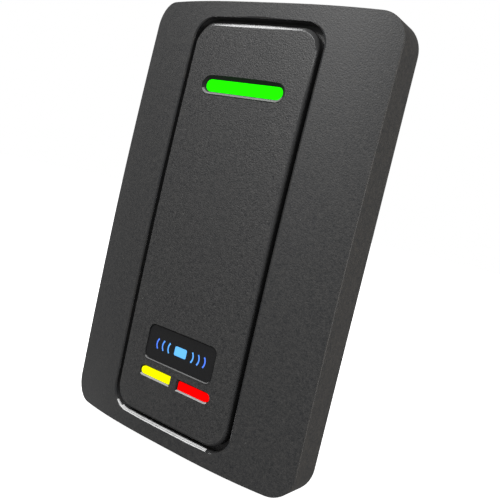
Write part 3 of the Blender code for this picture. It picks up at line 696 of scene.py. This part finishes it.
def on_face(point, towards, distance, lift=0.0):
    """The point of the arched front that lies a distance from point on the way to another."""
    run = Vector((towards.x - point.x, towards.z - point.z))
    share = distance / run.length
    x = point.x + run.x * share
    z = point.z + run.y * share
    return Vector((x, face_y(x, z, lift), z))


def closed_over(ring, mirrored):
    """Faces that close a ring: one flat face, or a strip across a ring that mirrors itself."""
    if not mirrored:
        return [ring]
    count = len(ring)
    top = mirrored // 2
    strip = []
    for step in range(count // 2):
        here = (top + step) % count
        following = (here + 1) % count
        corners = [here, following, (mirrored - following) % count, (mirrored - here) % count]
        strip.append([ring[i] for i in dict.fromkeys(corners)])
    return strip


def strung(columns, bands, name, mirrored=0):
    """A closed mesh from columns of points, one column per outline point, capped at both ends.
    mirrored is the index of the point that lies across from the first one."""
    bm = bmesh.new()
    rings = [[bm.verts.new(column[row]) for column in columns] for row in range(len(columns[0]))]
    count = len(columns)
    for row, (ring, following) in enumerate(zip(rings, rings[1:])):
        band = next(index for last, index in bands if row < last)
        for i in range(count):
            j = (i + 1) % count
            face = bm.faces.new((ring[i], ring[j], following[j], following[i]))
            face.material_index = band
    for ring, index in ((rings[0], bands[0][1]), (rings[-1], bands[-1][1])):
        for corners in closed_over(ring, mirrored):
            bm.faces.new(corners).material_index = index
    bmesh.ops.recalc_face_normals(bm, faces=bm.faces)
    return meshed(bm, name)


TEXTURED = 0
SIDE = 1
POLISHED = 2
INSIDE = 3
LAST_ROW = 1000
WALL_ROWS = 5
FACE_ROWS = 14
RADIUS_ROWS = 5
UNDER_ROWS = 6


def up_share(z, half_height, radius):
    """How far a point has come round a corner on its way up: 0 on the sides, 1 on the top edge."""
    return min(max((z - half_height + radius) / radius, 0.0), 1.0)


def housing_columns():
    """Each column runs from the recess floor over the front and the back edge to the inside."""
    columns = []
    recess = outline(*RECESS)
    well = outline(RECESS[0] + HOUSING_WALL, RECESS[1] + HOUSING_WALL / 2, RECESS[2] + 0.001)
    for index, (x, z) in enumerate(recess):
        edge_depth = wall_meets_face(index)
        edge = wall_point(index, edge_depth)
        mouth = Vector((x, face_y(x, z), z))
        down = up_share(-z, *RECESS[1:])
        width, depth = (a + (b - a) * down for a, b in zip(RECESS_EDGE, RECESS_FOOT_EDGE))
        shoulder = on_face(mouth, edge, width)
        throat = Vector((x, mouth.y + depth, z))
        column = [Vector((x, RECESS_FLOOR, z)), throat]
        column += bend(throat, mouth, shoulder, RADIUS_ROWS, down)
        rim = on_face(edge, mouth, OUTER_RADIUS)
        for row in range(FACE_ROWS + 1):
            flat = shoulder.lerp(rim, row / FACE_ROWS)
            column.append(Vector((flat.x, face_y(flat.x, flat.z), flat.z)))
        below = wall_point(index, edge_depth - OUTER_RADIUS)
        column += bend(rim, edge, below, RADIUS_ROWS)
        for row in range(WALL_ROWS + 1):
            column.append(wall_point(index, (edge_depth - OUTER_RADIUS) * (1 - row / WALL_ROWS)))
        inner_depth = wall_meets_face(index, HOUSING_WALL, -HOUSING_WALL)
        for row in range(WALL_ROWS + 1):
            column.append(wall_point(index, inner_depth * row / WALL_ROWS, HOUSING_WALL))
        corner = Vector((column[-1].x, column[-1].z))
        well_x, well_z = well[index]
        for row in range(1, UNDER_ROWS + 1):
            across = corner.lerp(Vector((well_x, well_z)), row / UNDER_ROWS)
            column.append(Vector((across.x, face_y(*across, -HOUSING_WALL), across.y)))
        column.append(Vector((well_x, FLOOR_BACK, well_z)))
        columns.append(column)
    return columns


face_start = 1 + RADIUS_ROWS
face_end = face_start + FACE_ROWS
side_start = face_end + RADIUS_ROWS
side_end = side_start + WALL_ROWS
housing_bands = [
    (1, INSIDE),
    (face_start, POLISHED),
    (face_end, TEXTURED),
    (side_end, SIDE),
    (LAST_ROW, INSIDE),
]


def tool(mesh):
    """A cutter, which is deleted once its cut is made."""
    cutter = bpy.data.objects.new(mesh.name, mesh)
    bpy.context.scene.collection.objects.link(cutter)
    return cutter


def bar(name, sections):
    """A mesh through outlines at several depths, each given as (depth, outline)."""
    depths, outlines = zip(*sections)
    columns = []
    for points in zip(*outlines):
        columns.append([Vector((x, y, z)) for y, (x, z) in zip(depths, points)])
    return strung(columns, [(LAST_ROW, 0)], name)


def box_tool(low, high):
    points = [(low[0], low[2]), (high[0], low[2]), (high[0], high[2]), (low[0], high[2])]
    return tool(bar("box tool", [(low[1], points), (high[1], points)]))


def round_tool(start, end, radius, sides=32):
    bm = bmesh.new()
    start = Vector(start)
    end = Vector(end)
    along = end - start
    turn = along.to_track_quat("Z", "Y").to_matrix().to_4x4()
    bmesh.ops.create_cone(
        bm,
        cap_ends=True,
        segments=sides,
        radius1=radius,
        radius2=radius,
        depth=along.length,
        matrix=Matrix.Translation((start + end) / 2) @ turn,
    )
    return tool(meshed(bm, "round tool"))


def machined(piece, cuts=(), joins=()):
    """Joins and cuts a piece, then deletes the tools."""
    for operation, tools in (("UNION", joins), ("DIFFERENCE", cuts)):
        for part in tools:
            step = piece.modifiers.new("step", "BOOLEAN")
            step.operation = operation
            step.solver = "EXACT"
            step.object = part
    settled(piece)
    for part in (*cuts, *joins):
        bpy.data.objects.remove(part, do_unlink=True)
    return piece


FRONT_CREASE = math.radians(36)


def true_front(piece):
    """Shades the arched front by its exact shape, so that cuts in it leave no facets."""
    mesh = piece.data
    mesh.shade_smooth()
    mesh.set_sharp_from_angle(angle=FRONT_CREASE)
    normals = [Vector((0.0, 0.0, 0.0))] * len(mesh.loops)
    for polygon in mesh.polygons:
        if polygon.material_index != TEXTURED:
            continue
        for loop in polygon.loop_indices:
            spot = mesh.vertices[mesh.loops[loop].vertex_index].co
            normals[loop] = face_normal(spot.x, spot.z)
    mesh.normals_split_custom_set(normals)


DUST = (0.11, 0.11, 0.105)
DUST_SPACING = 0.005
DUST_RADIUS = 0.00012


def speckled(name, colour, roughness, grain, relief, contrast=0.5, dusty=False):
    """Moulded plastic with a spark-eroded texture: fine grains in colour, gloss and relief."""
    finish = Finish(name, colour, Roughness=roughness)
    coarse = finish.noise(grain * 2.4, 2.0)
    fine = finish.noise(grain, 1.0)
    grains = finish.between(fine * 0.6 + coarse * 0.4, 0.3, 0.7)
    cool = tuple(c / (1 + contrast) * t for c, t in zip(colour, (0.94, 1.0, 1.08)))
    warm = tuple(c * (1 + contrast) * t for c, t in zip(colour, (1.05, 1.0, 0.93)))
    plastic = finish.mix(grains, (*cool, 1.0), (*warm, 1.0))
    if dusty:
        inputs = {"Vector": finish.place, "Scale": 1 / DUST_SPACING}
        speck = finish.node("ShaderNodeTexVoronoi", inputs=inputs) < DUST_RADIUS / DUST_SPACING
        plastic = finish.mix(speck, plastic, (*DUST, 1.0))
    finish.feed("Base Color", plastic)
    finish.feed("Roughness", roughness - 0.05 + grains * 0.1)
    finish.relief(fine, relief)
    return finish


CHARCOAL = (0.0235, 0.0240, 0.0250)
charcoal = speckled("charcoal_texture", CHARCOAL, 0.52, 0.00036, 0.00006, 0.8, dusty=True)
# The sides take a lighter, warmer copy of the plastic's colour: painted light on the sides.
charcoal_side_lit = speckled("charcoal_side_lit", (0.0290, 0.0275, 0.0260), 0.55, 0.0006, 0.00002)
charcoal_polish = speckled("charcoal_polish", (0.026, 0.026, 0.0265), 0.2, 0.0016, 0.0000005, 0.15)
# The inside takes a paler copy of the plastic's colour: painted light that lifts the shade in the
# groove, the recess and behind the panel.
charcoal_inside_lit = speckled("charcoal_inside_lit", (0.045, 0.045, 0.046), 0.45, 0.0012, 0.000004, 0.25)

housing_mesh = strung(housing_columns(), housing_bands, "front_shell", MIRRORED)
housing = shown("front_shell", housing_mesh, "cover", ["front_housing"])
for finish in (charcoal, charcoal_side_lit, charcoal_polish, charcoal_inside_lit):
    housing.data.materials.append(finish.material)
GRUB_Y = -0.0045
GREEN_X = 0.0002
GREEN_Z = 0.03645
PAIR_Z = -0.0411
BADGE_X = 0.0001
BADGE_Z = -0.0331
FLOOR_CUT = (-0.0110, -0.0050)
PEGS = [(side * 0.0142, z) for side in (-1, 1) for z in (0.024, -0.018)]
ways = [
    (0.0105, 0.0017, GREEN_X, GREEN_Z),
    (0.0080, 0.0018, BADGE_X, BADGE_Z),
    (0.0038, 0.0014, -0.0068, PAIR_Z),
    (0.0038, 0.0014, 0.0068, PAIR_Z),
]
cutters = [round_tool((0, GRUB_Y, -0.062), (0, GRUB_Y, -0.052), 0.0025)]
for half_width, half_height, x, z in ways:
    low = (x - half_width, FLOOR_CUT[0], z - half_height)
    high = (x + half_width, FLOOR_CUT[1], z + half_height)
    cutters.append(box_tool(low, high))
for x, z in PEGS:
    cutters.append(round_tool((x, FLOOR_CUT[0], z), (x, FLOOR_CUT[1], z), 0.0016))
boss = box_tool((-0.005, FLOOR_BACK - 0.0007, -0.0580), (0.005, -0.0025, -0.0538))
machined(housing, cutters, [boss])
true_front(housing)

# The threaded insert and the security screw: a knurled brass sleeve pressed into the housing's
# foot, and a headless screw with a hexagon socket that bears on the base's lug.
brass = Finish("turned_brass", (0.72, 0.50, 0.20), Roughness=0.28, Metallic=1.0)
brass.feed("Roughness", 0.2 + brass.mottle(0.0003, 0.12, 4.0) * 0.2)
eased("threaded_insert", "brass_sleeve", "cover", brass, 0.00012)
eased("security_screw", "grub_screw", "security_screw", zinc, 0.0001)

# The centre panel: an arched skin with a skirt, moulded in the housing's plastic and staked into
# the recess by four pegs. Its long edges are rounded and polished, and its windows are funnels.
GROOVE = 0.00155
SIDE_GROOVE = 0.0011
PANEL = (RECESS[0] - SIDE_GROOVE, RECESS[1] - GROOVE, RECESS[2] - 0.0008)
PANEL_PROUD = 0.0002
PANEL_SKIN = 0.0016
PANEL_SKIRT = 0.0014
PANEL_SIDE_EDGE = (0.0006, 0.0012, 0.8)
PANEL_TOP_EDGE = (0.0011, 0.00058, 0.8)
PANEL_FOOT_EDGE = (0.0006, 0.0006, 0.2)
PANEL_BACK = RECESS_FLOOR - GAP
PANEL_ROWS = 9
PANEL_UNDER_ROWS = 5


def panel_columns():
    """Each column runs from the middle of the front over the edge and the skirt to the inside."""
    outer = outline(*PANEL)
    middle = outline(0.0006, PANEL[1] - PANEL[0] + 0.0006, 0.0003)
    inner = outline(PANEL[0] - PANEL_SKIRT, PANEL[1] - PANEL_SKIRT, PANEL[2] - 0.001)
    columns = []
    for index, (x, z) in enumerate(outer):
        edge = Vector((x, face_y(x, z, PANEL_PROUD), z))
        core = Vector((middle[index][0], 0.0, middle[index][1]))
        up = up_share(z, *PANEL[1:])
        down = up_share(-z, *PANEL[1:])
        shares = (1 - up - down, up, down)
        kinds = zip(PANEL_SIDE_EDGE, PANEL_TOP_EDGE, PANEL_FOOT_EDGE)
        width, depth, flatness = (sum(s * k for s, k in zip(shares, kind)) for kind in kinds)
        shoulder = on_face(edge, core, width, PANEL_PROUD)
        column = []
        for row in range(PANEL_ROWS + 1):
            flat = core.lerp(shoulder, row / PANEL_ROWS)
            column.append(Vector((flat.x, face_y(flat.x, flat.z, PANEL_PROUD), flat.z)))
        below = Vector((x, edge.y + depth, z))
        column += bend(shoulder, edge, below, RADIUS_ROWS + 1, flatness)
        column += [below, Vector((x, PANEL_BACK, z))]
        inner_x, inner_z = inner[index]
        column.append(Vector((inner_x, PANEL_BACK, inner_z)))
        under = PANEL_PROUD - PANEL_SKIN
        column.append(Vector((inner_x, face_y(inner_x, inner_z, under), inner_z)))
        for row in range(1, PANEL_UNDER_ROWS + 1):
            x_in = inner_x + (core.x - inner_x) * row / PANEL_UNDER_ROWS
            z_in = inner_z + (core.z - inner_z) * row / PANEL_UNDER_ROWS
            column.append(Vector((x_in, face_y(x_in, z_in, under), z_in)))
        columns.append(column)
    return columns


panel_bands = [
    (PANEL_ROWS, TEXTURED),
    (PANEL_ROWS + RADIUS_ROWS + 2, POLISHED),
    (LAST_ROW, INSIDE),
]
panel_mesh = strung(panel_columns(), panel_bands, "panel_cap", MIRRORED)
panel = shown("panel_cap", panel_mesh, "cover", ["centre_panel"])
DULL_AND_SHADED_BELOW = 0.037
POLISHED_AND_LIT_ABOVE = 0.049
PANEL_GREY = (0.0215, 0.0220, 0.0230)
panel_finish = speckled("panel_texture", PANEL_GREY, 0.52, 0.00036, 0.0001, 1.2, dusty=True)
panel_polish_and_light = speckled("panel_polish_and_light", (0.029, 0.029, 0.0295), 0.34, 0.0016, 0.0000005, 0.15)
# The edge band's colour is lighter at the top and darker lower down: painted light on the top edge
# and painted shade down the sides. Its gloss goes from polished at the top to dull below.
_, _, height = panel_polish_and_light.axes()
polished_and_lit = panel_polish_and_light.between(height, DULL_AND_SHADED_BELOW, POLISHED_AND_LIT_ABOVE)
shaded_grey, lit_grey = (0.013, 0.013, 0.0135, 1.0), (0.029, 0.029, 0.0295, 1.0)
panel_polish_and_light.feed("Base Color", panel_polish_and_light.mix(polished_and_lit, shaded_grey, lit_grey))
panel_polish_and_light.feed("Roughness", 0.7 - polished_and_lit * 0.42)
# The window walls take a darker copy of the panel's plastic: painted shade in the funnels.
window_polish_shaded = speckled("window_polish_shaded", (0.012, 0.012, 0.0125), 0.6, 0.0007, 0.000002, 0.2)
window_polish_shaded.feed("Specular IOR Level", 0.2)
PANEL_FINISHES = (panel_finish, charcoal_side_lit, panel_polish_and_light, charcoal_inside_lit, window_polish_shaded)
for finish in PANEL_FINISHES:
    panel.data.materials.append(finish.material)


def panel_face(z):
    return face_y(0.0, z, PANEL_PROUD)


ROUND_END_STEPS = 14


def slot_outline(half_width, half_height):
    """The upper window's bar, with two round ends."""
    radius = half_height * 0.995
    return outline(half_width, half_height, radius, GREEN_X, GREEN_Z, (ROUND_END_STEPS, 8, 1))


def half_slot(pair_bar, grown):
    """A bar that is square at its inner end and round at its outer end, grown all round."""
    inner, outer, middle, half_height = pair_bar
    side = math.copysign(1, outer)
    inner -= side * grown
    outer += side * grown
    half_height += grown
    points = [(inner, middle + half_height), (inner, middle - half_height)]
    for step in range(ROUND_END_STEPS + 1):
        angle = math.pi * (step / ROUND_END_STEPS - 0.5)
        reach = outer - side * half_height * (1 - math.cos(angle))
        points.append((reach, middle + half_height * math.sin(angle)))
    return points


GREEN_BAR = (0.0120, 0.00155)
GREEN_MOUTH = (0.0133, 0.0026)
GREEN_SUNK = 0.0009
AMBER_BAR = (-0.0015, -0.0115, -0.0413, 0.00100)
RED_BAR = (0.0017, 0.0119, -0.04142, 0.00105)
PAIR_RIM = 0.0005
BADGE = (0.0114, 0.00455, 0.0018)
WINDOW_WALL = 4


def polished_tool(sections):
    """A window cutter whose walls leave the window finish, darkened by painted shade."""
    cutter = tool(bar("window", sections))
    for finish in PANEL_FINISHES:
        cutter.data.materials.append(finish.material)
    for polygon in cutter.data.polygons:
        polygon.material_index = WINDOW_WALL
    return cutter


def badge_outline(grown):
    return outline(BADGE[0] + grown, BADGE[1] + grown, BADGE[2], BADGE_X, BADGE_Z, (10, 1, 1))


green_face = panel_face(GREEN_Z)


def funnel_outline(share):
    """The upper window's outline, from its throat at 0 to its mouth at 1."""
    half_width = GREEN_BAR[0] + (GREEN_MOUTH[0] - GREEN_BAR[0]) * share
    half_height = GREEN_BAR[1] + (GREEN_MOUTH[1] - GREEN_BAR[1]) * share
    return slot_outline(half_width, half_height)


FUNNEL = ((1.9, -0.0011), (1.12, -0.0001), (1.0, 0.00012), (0.1, GREEN_SUNK), (0.1, 0.005))
windows = [polished_tool([(green_face + depth, funnel_outline(share)) for share, depth in FUNNEL])]
PAIR_FUNNEL = ((1.3, -0.001), (1.3, -0.0002), (1.0, 0.0001), (0.3, 0.0006), (0.3, 0.006))
pair_face = panel_face(PAIR_Z)
for pair_bar in (AMBER_BAR, RED_BAR):
    sections = []
    for rim, depth in PAIR_FUNNEL:
        sections.append((pair_face + depth, half_slot(pair_bar, rim * PAIR_RIM)))
    windows.append(polished_tool(sections))
BADGE_WELL = ((0.0005, -0.001), (0.0004, -0.0001), (GAP / 2, 0.00015), (GAP / 2, 0.005))
badge_face = panel_face(BADGE_Z)
windows.append(polished_tool([(badge_face + depth, badge_outline(g)) for g, depth in BADGE_WELL]))
pegs = [round_tool((x, face_y(x, z) + 0.0008, z), (x, -0.0079, z), 0.0012) for x, z in PEGS]
machined(panel, windows, pegs)
true_front(panel)

# The light pipes: clear polycarbonate bars, frosted on their ends, that carry the lamps' light to
# the windows. Their glow is painted: an even, saturated emission that stands in for that light.
PIPES = (
    ("green", (0.013, 1.0, 0.0), slot_outline(*GREEN_BAR)),
    ("amber", (1.0, 1.0, 0.0), half_slot(AMBER_BAR, 0.0)),
    ("red", (1.0, 0.0, 0.0), half_slot(RED_BAR, 0.0)),
)
LENS_DEPTH = 0.0011
for hue, colour, window in PIPES:
    node, name, slot = f"{hue}_light_pipe", f"{hue}_pipe", f"{hue}_light"
    body_colour = tuple(c * 0.4 for c in colour)
    glow = Finish(name, body_colour, Roughness=0.5, Specular_IOR_Level=0.02, Emission_Strength=1.0)
    even = glow.between(glow.noise(0.0009), -1.5, 1.0)
    glow.feed("Emission Color", glow.mix(even, (*(c * 0.85 for c in colour), 1.0), (*colour, 1.0)))
    pipe = eased(node, name, "cover", glow, 0.00012)
    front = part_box(node)[0][1]
    join = front + LENS_DEPTH
    machined(pipe, [box_tool((-0.02, front - 0.001, -0.06), (0.02, join, 0.06))])
    lens = bar(f"{name}_lens", [(front, window), (join + 0.0001, window)])
    dress(shown(f"{name}_lens", lens, "cover"), glow)

# The lens lips: along the foot of each window lies a sloping lip, pale grey under the amber and red
# windows and darker grey under the green one. The grey is a painted highlight of the overhead
# light.


# Gives a grey finish for an edge, whose grey is a painted highlight.
def painted_edge_highlight(name, grey, roughness):
    finish = Finish(name, (grey, grey, grey), Roughness=roughness)
    finish.feed("Roughness", roughness - 0.08 + finish.mottle(0.0012, 0.25, 3.0) * 0.2)
    return finish


lip_highlight = painted_edge_highlight("lip_highlight_grey", 0.32, 0.28)
dim_highlight = painted_edge_highlight("dim_highlight_grey", 0.10, 0.5)


def rail(name, sections, finish, closed=False):
    """A piece of the cover made of one strip."""
    bm = bmesh.new()
    add_strip(bm, sections, closed)
    return placed(bm, name, "cover", finish)


def between_outlines(inner, outer, front_inner, front_outer, thickness):
    """Cross-sections of a sloping strip that runs between two outlines."""
    sections = []
    for (near_x, near_z), (far_x, far_z) in zip(inner, outer):
        near = Vector((near_x, front_inner, near_z))
        far = Vector((far_x, front_outer, far_z))
        thick = Vector((0.0, thickness, 0.0))
        sections.append((near, far, far + thick, near + thick))
    return sections


LIP_LIFT = 0.00004
LIP_THICKNESS = 0.0002
near = funnel_outline(0.30)
far = funnel_outline(0.78)
foot = [i for i, (x, z) in enumerate(near) if z < GREEN_Z - GREEN_BAR[1] * 0.5]
lip = between_outlines(
    [near[i] for i in foot],
    [far[i] for i in foot],
    green_face + GREEN_SUNK * 0.55 - LIP_LIFT,
    green_face + GREEN_SUNK * 0.2 - LIP_LIFT,
    LIP_THICKNESS,
)
rail("green_lens_lip", lip, dim_highlight)
PAIR_LIP = (0.00007, 0.00045, 0.00018)
for pair_bar, hue in ((AMBER_BAR, "amber"), (RED_BAR, "red")):
    near = half_slot(pair_bar, PAIR_LIP[0])[1:6]
    far = half_slot(pair_bar, PAIR_LIP[1])[1:6]
    front = pair_face + PAIR_LIP[2] - LIP_LIFT
    lip = between_outlines(near, far, front, pair_face - LIP_LIFT, LIP_THICKNESS)
    rail(f"{hue}_lens_lip", lip, lip_highlight)

# The recess's foot: two fine polished ribs moulded along its lower edge, pale grey all over. The
# pale grey is a painted highlight: a bright double line between the panel and the front.
rib_highlight = painted_edge_highlight("rib_highlight_grey", 0.66, 0.2)
RIBS = (
    ("foot_rib_outer", (0.00018, -0.00004), (0.00002, 0.00012), 0.0022),
    ("foot_rib_inner", (-0.00018, -0.00040), (0.00034, 0.00044), 0.0008),
)
RIB_RIGHT_END = 0.0145
for name, insets, depths, rise in RIBS:
    edges = [outline(RECESS[0] + g, RECESS[1] + g, RECESS[2] + g) for g in insets]
    low_edge = rise - RECESS[1]
    run = [i for i, (x, z) in enumerate(edges[0]) if z < low_edge and x < RIB_RIGHT_END]
    sections = []
    for i in run:
        corners = []
        for edge, sunk in zip(edges, depths):
            x, z = edge[i]
            corners.append(Vector((x, face_y(x, z) + sunk, z)))
        backs = [corner + Vector((0.0, 0.0005, 0.0)) for corner in reversed(corners)]
        sections.append((*corners, *backs))
    rail(name, sections, rib_highlight)

# The badge: a smoked acrylic plate set flush in its window and pierced by a generic mark, a card
# between radio waves, with a frosted diffuser behind it that glows blue.
smoked = Finish("smoked_acrylic", (0.008, 0.008, 0.0085), Roughness=0.5, Specular_IOR_Level=0.3)
smoked.feed("Roughness", 0.44 + smoked.mottle(0.0005, 0.25, 3.0) * 0.12)
eased("badge_plate", "badge_face", "cover", smoked, 0.00004, 1, flat=True)
BADGE_SUNK = 0.0004
seat_front = badge_face + BADGE_SUNK + 0.00003
seat_outlines = (badge_outline(-0.0002), badge_outline(0.0002))
seat = between_outlines(*seat_outlines, seat_front, seat_front, 0.0003)
rail("badge_seat", seat, smoked, closed=True)
# Along the foot of the badge's window a thin sloping strip of grey: a painted highlight on the
# window's lower edge.
near, far = badge_outline(0.00002), badge_outline(0.0002)
foot = [i for i, (x, z) in enumerate(near) if z < BADGE_Z - BADGE[1] + 0.0006]
near, far = ([edge[i] for i in foot] for edge in (near, far))
foot_highlight = between_outlines(near, far, badge_face + 0.00012, badge_face - 0.00002, 0.0003)
rail("badge_foot_highlight", foot_highlight, dim_highlight)
# The diffuser's glow is painted: an emission, cyan in the middle and blue towards the ends, that
# stands in for the blue lamps' light.
blue = Finish("blue_glow", (0.02, 0.06, 0.3), Roughness=0.4, Specular_IOR_Level=0.1)
across, _, _ = blue.axes()
spread = blue.between(abs(across - BADGE_X), 0.003, 0.0095)
glowing = blue.mix(spread, (0.15, 0.56, 1.0, 1.0), (0.085, 0.16, 1.0, 1.0))
blue.feed("Emission Color", glowing)
blue.feed("Emission Strength", 1.0)
dress(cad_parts["badge_diffuser"], blue)

# The studio: a white floor under the reader, a pale surround and four soft boxes, in front,
# overhead, low on the left and on the right. The camera stands in front of the reader, to its
# right, and is rolled to the left.
floor_mesh = bmesh.new()
bmesh.ops.create_grid(floor_mesh, x_segments=1, y_segments=1, size=3.0)
floor = bpy.data.objects.new("floor", meshed(floor_mesh, "floor"))
floor.location = (0.0, 0.0, cad_box[0][2] - 0.001)
bpy.context.scene.collection.objects.link(floor)
WHITE = (1.0, 1.0, 1.0, 1.0)
paper = Finish("white_paper", (0.8, 0.8, 0.8), Roughness=0.9, Specular_IOR_Level=0.0)
paper.mottle(0.02, 0.01, 3.0)
paper.feed("Emission Color", WHITE)
paper.feed("Emission Strength", 1.0)
dress(floor, paper)
floor.visible_diffuse = False
floor.visible_glossy = False

world = bpy.data.worlds.new("surround")
bpy.context.scene.world = world
world.use_nodes = True
nodes = world.node_tree.nodes
links = world.node_tree.links
surround = nodes["Background"]
backdrop = nodes.new("ShaderNodeBackground")
for background, strength in ((surround, 0.275), (backdrop, 1.0)):
    background.inputs["Color"].default_value = WHITE
    background.inputs["Strength"].default_value = strength
rays = nodes.new("ShaderNodeLightPath")
choice = nodes.new("ShaderNodeMixShader")
links.new(rays.outputs["Is Camera Ray"], choice.inputs[0])
links.new(surround.outputs[0], choice.inputs[1])
links.new(backdrop.outputs[0], choice.inputs[2])
links.new(choice.outputs[0], nodes["World Output"].inputs["Surface"])


def soft_light(name, place, width, height, power):
    """Adds a soft box that faces the reader."""
    light = bpy.data.lights.new(name, "AREA")
    light.shape = "RECTANGLE"
    light.size = width
    light.size_y = height
    light.energy = power
    lamp = bpy.data.objects.new(name, light)
    lamp.location = place
    lamp.rotation_euler = (-Vector(place)).to_track_quat("-Z", "Y").to_euler()
    bpy.context.scene.collection.objects.link(lamp)


soft_light("front soft box", (-0.15, -0.75, 0.60), 0.6, 0.4, 8.1)
soft_light("overhead soft box", (-0.38, -0.17, 0.56), 0.18, 0.18, 1.9)
soft_light("low left fill", (-0.70, -0.25, -0.50), 0.3, 0.3, 2.0)
soft_light("right soft box", (0.80, -0.10, -0.05), 0.4, 0.6, 7.9)

CAMERA_PLACE = Vector((0.104208, -0.149587, 0.009682))
CAMERA_AIM = Vector((-0.005925, 0.016723, -0.004870))
CAMERA_ROLL = math.radians(13.3468)
camera = bpy.data.objects.new("camera", bpy.data.cameras.new("camera"))
camera.data.lens = 48.146
camera.data.sensor_width = 36.0
camera.data.clip_start = 0.005
facing = (CAMERA_AIM - CAMERA_PLACE).to_track_quat("-Z", "Y").to_matrix()
rolled = facing @ Matrix.Rotation(CAMERA_ROLL, 3, "Z")
camera.matrix_world = Matrix.Translation(CAMERA_PLACE) @ rolled.to_4x4()
bpy.context.scene.collection.objects.link(camera)
bpy.context.scene.camera = camera
bpy.context.scene.view_settings.view_transform = "Standard"
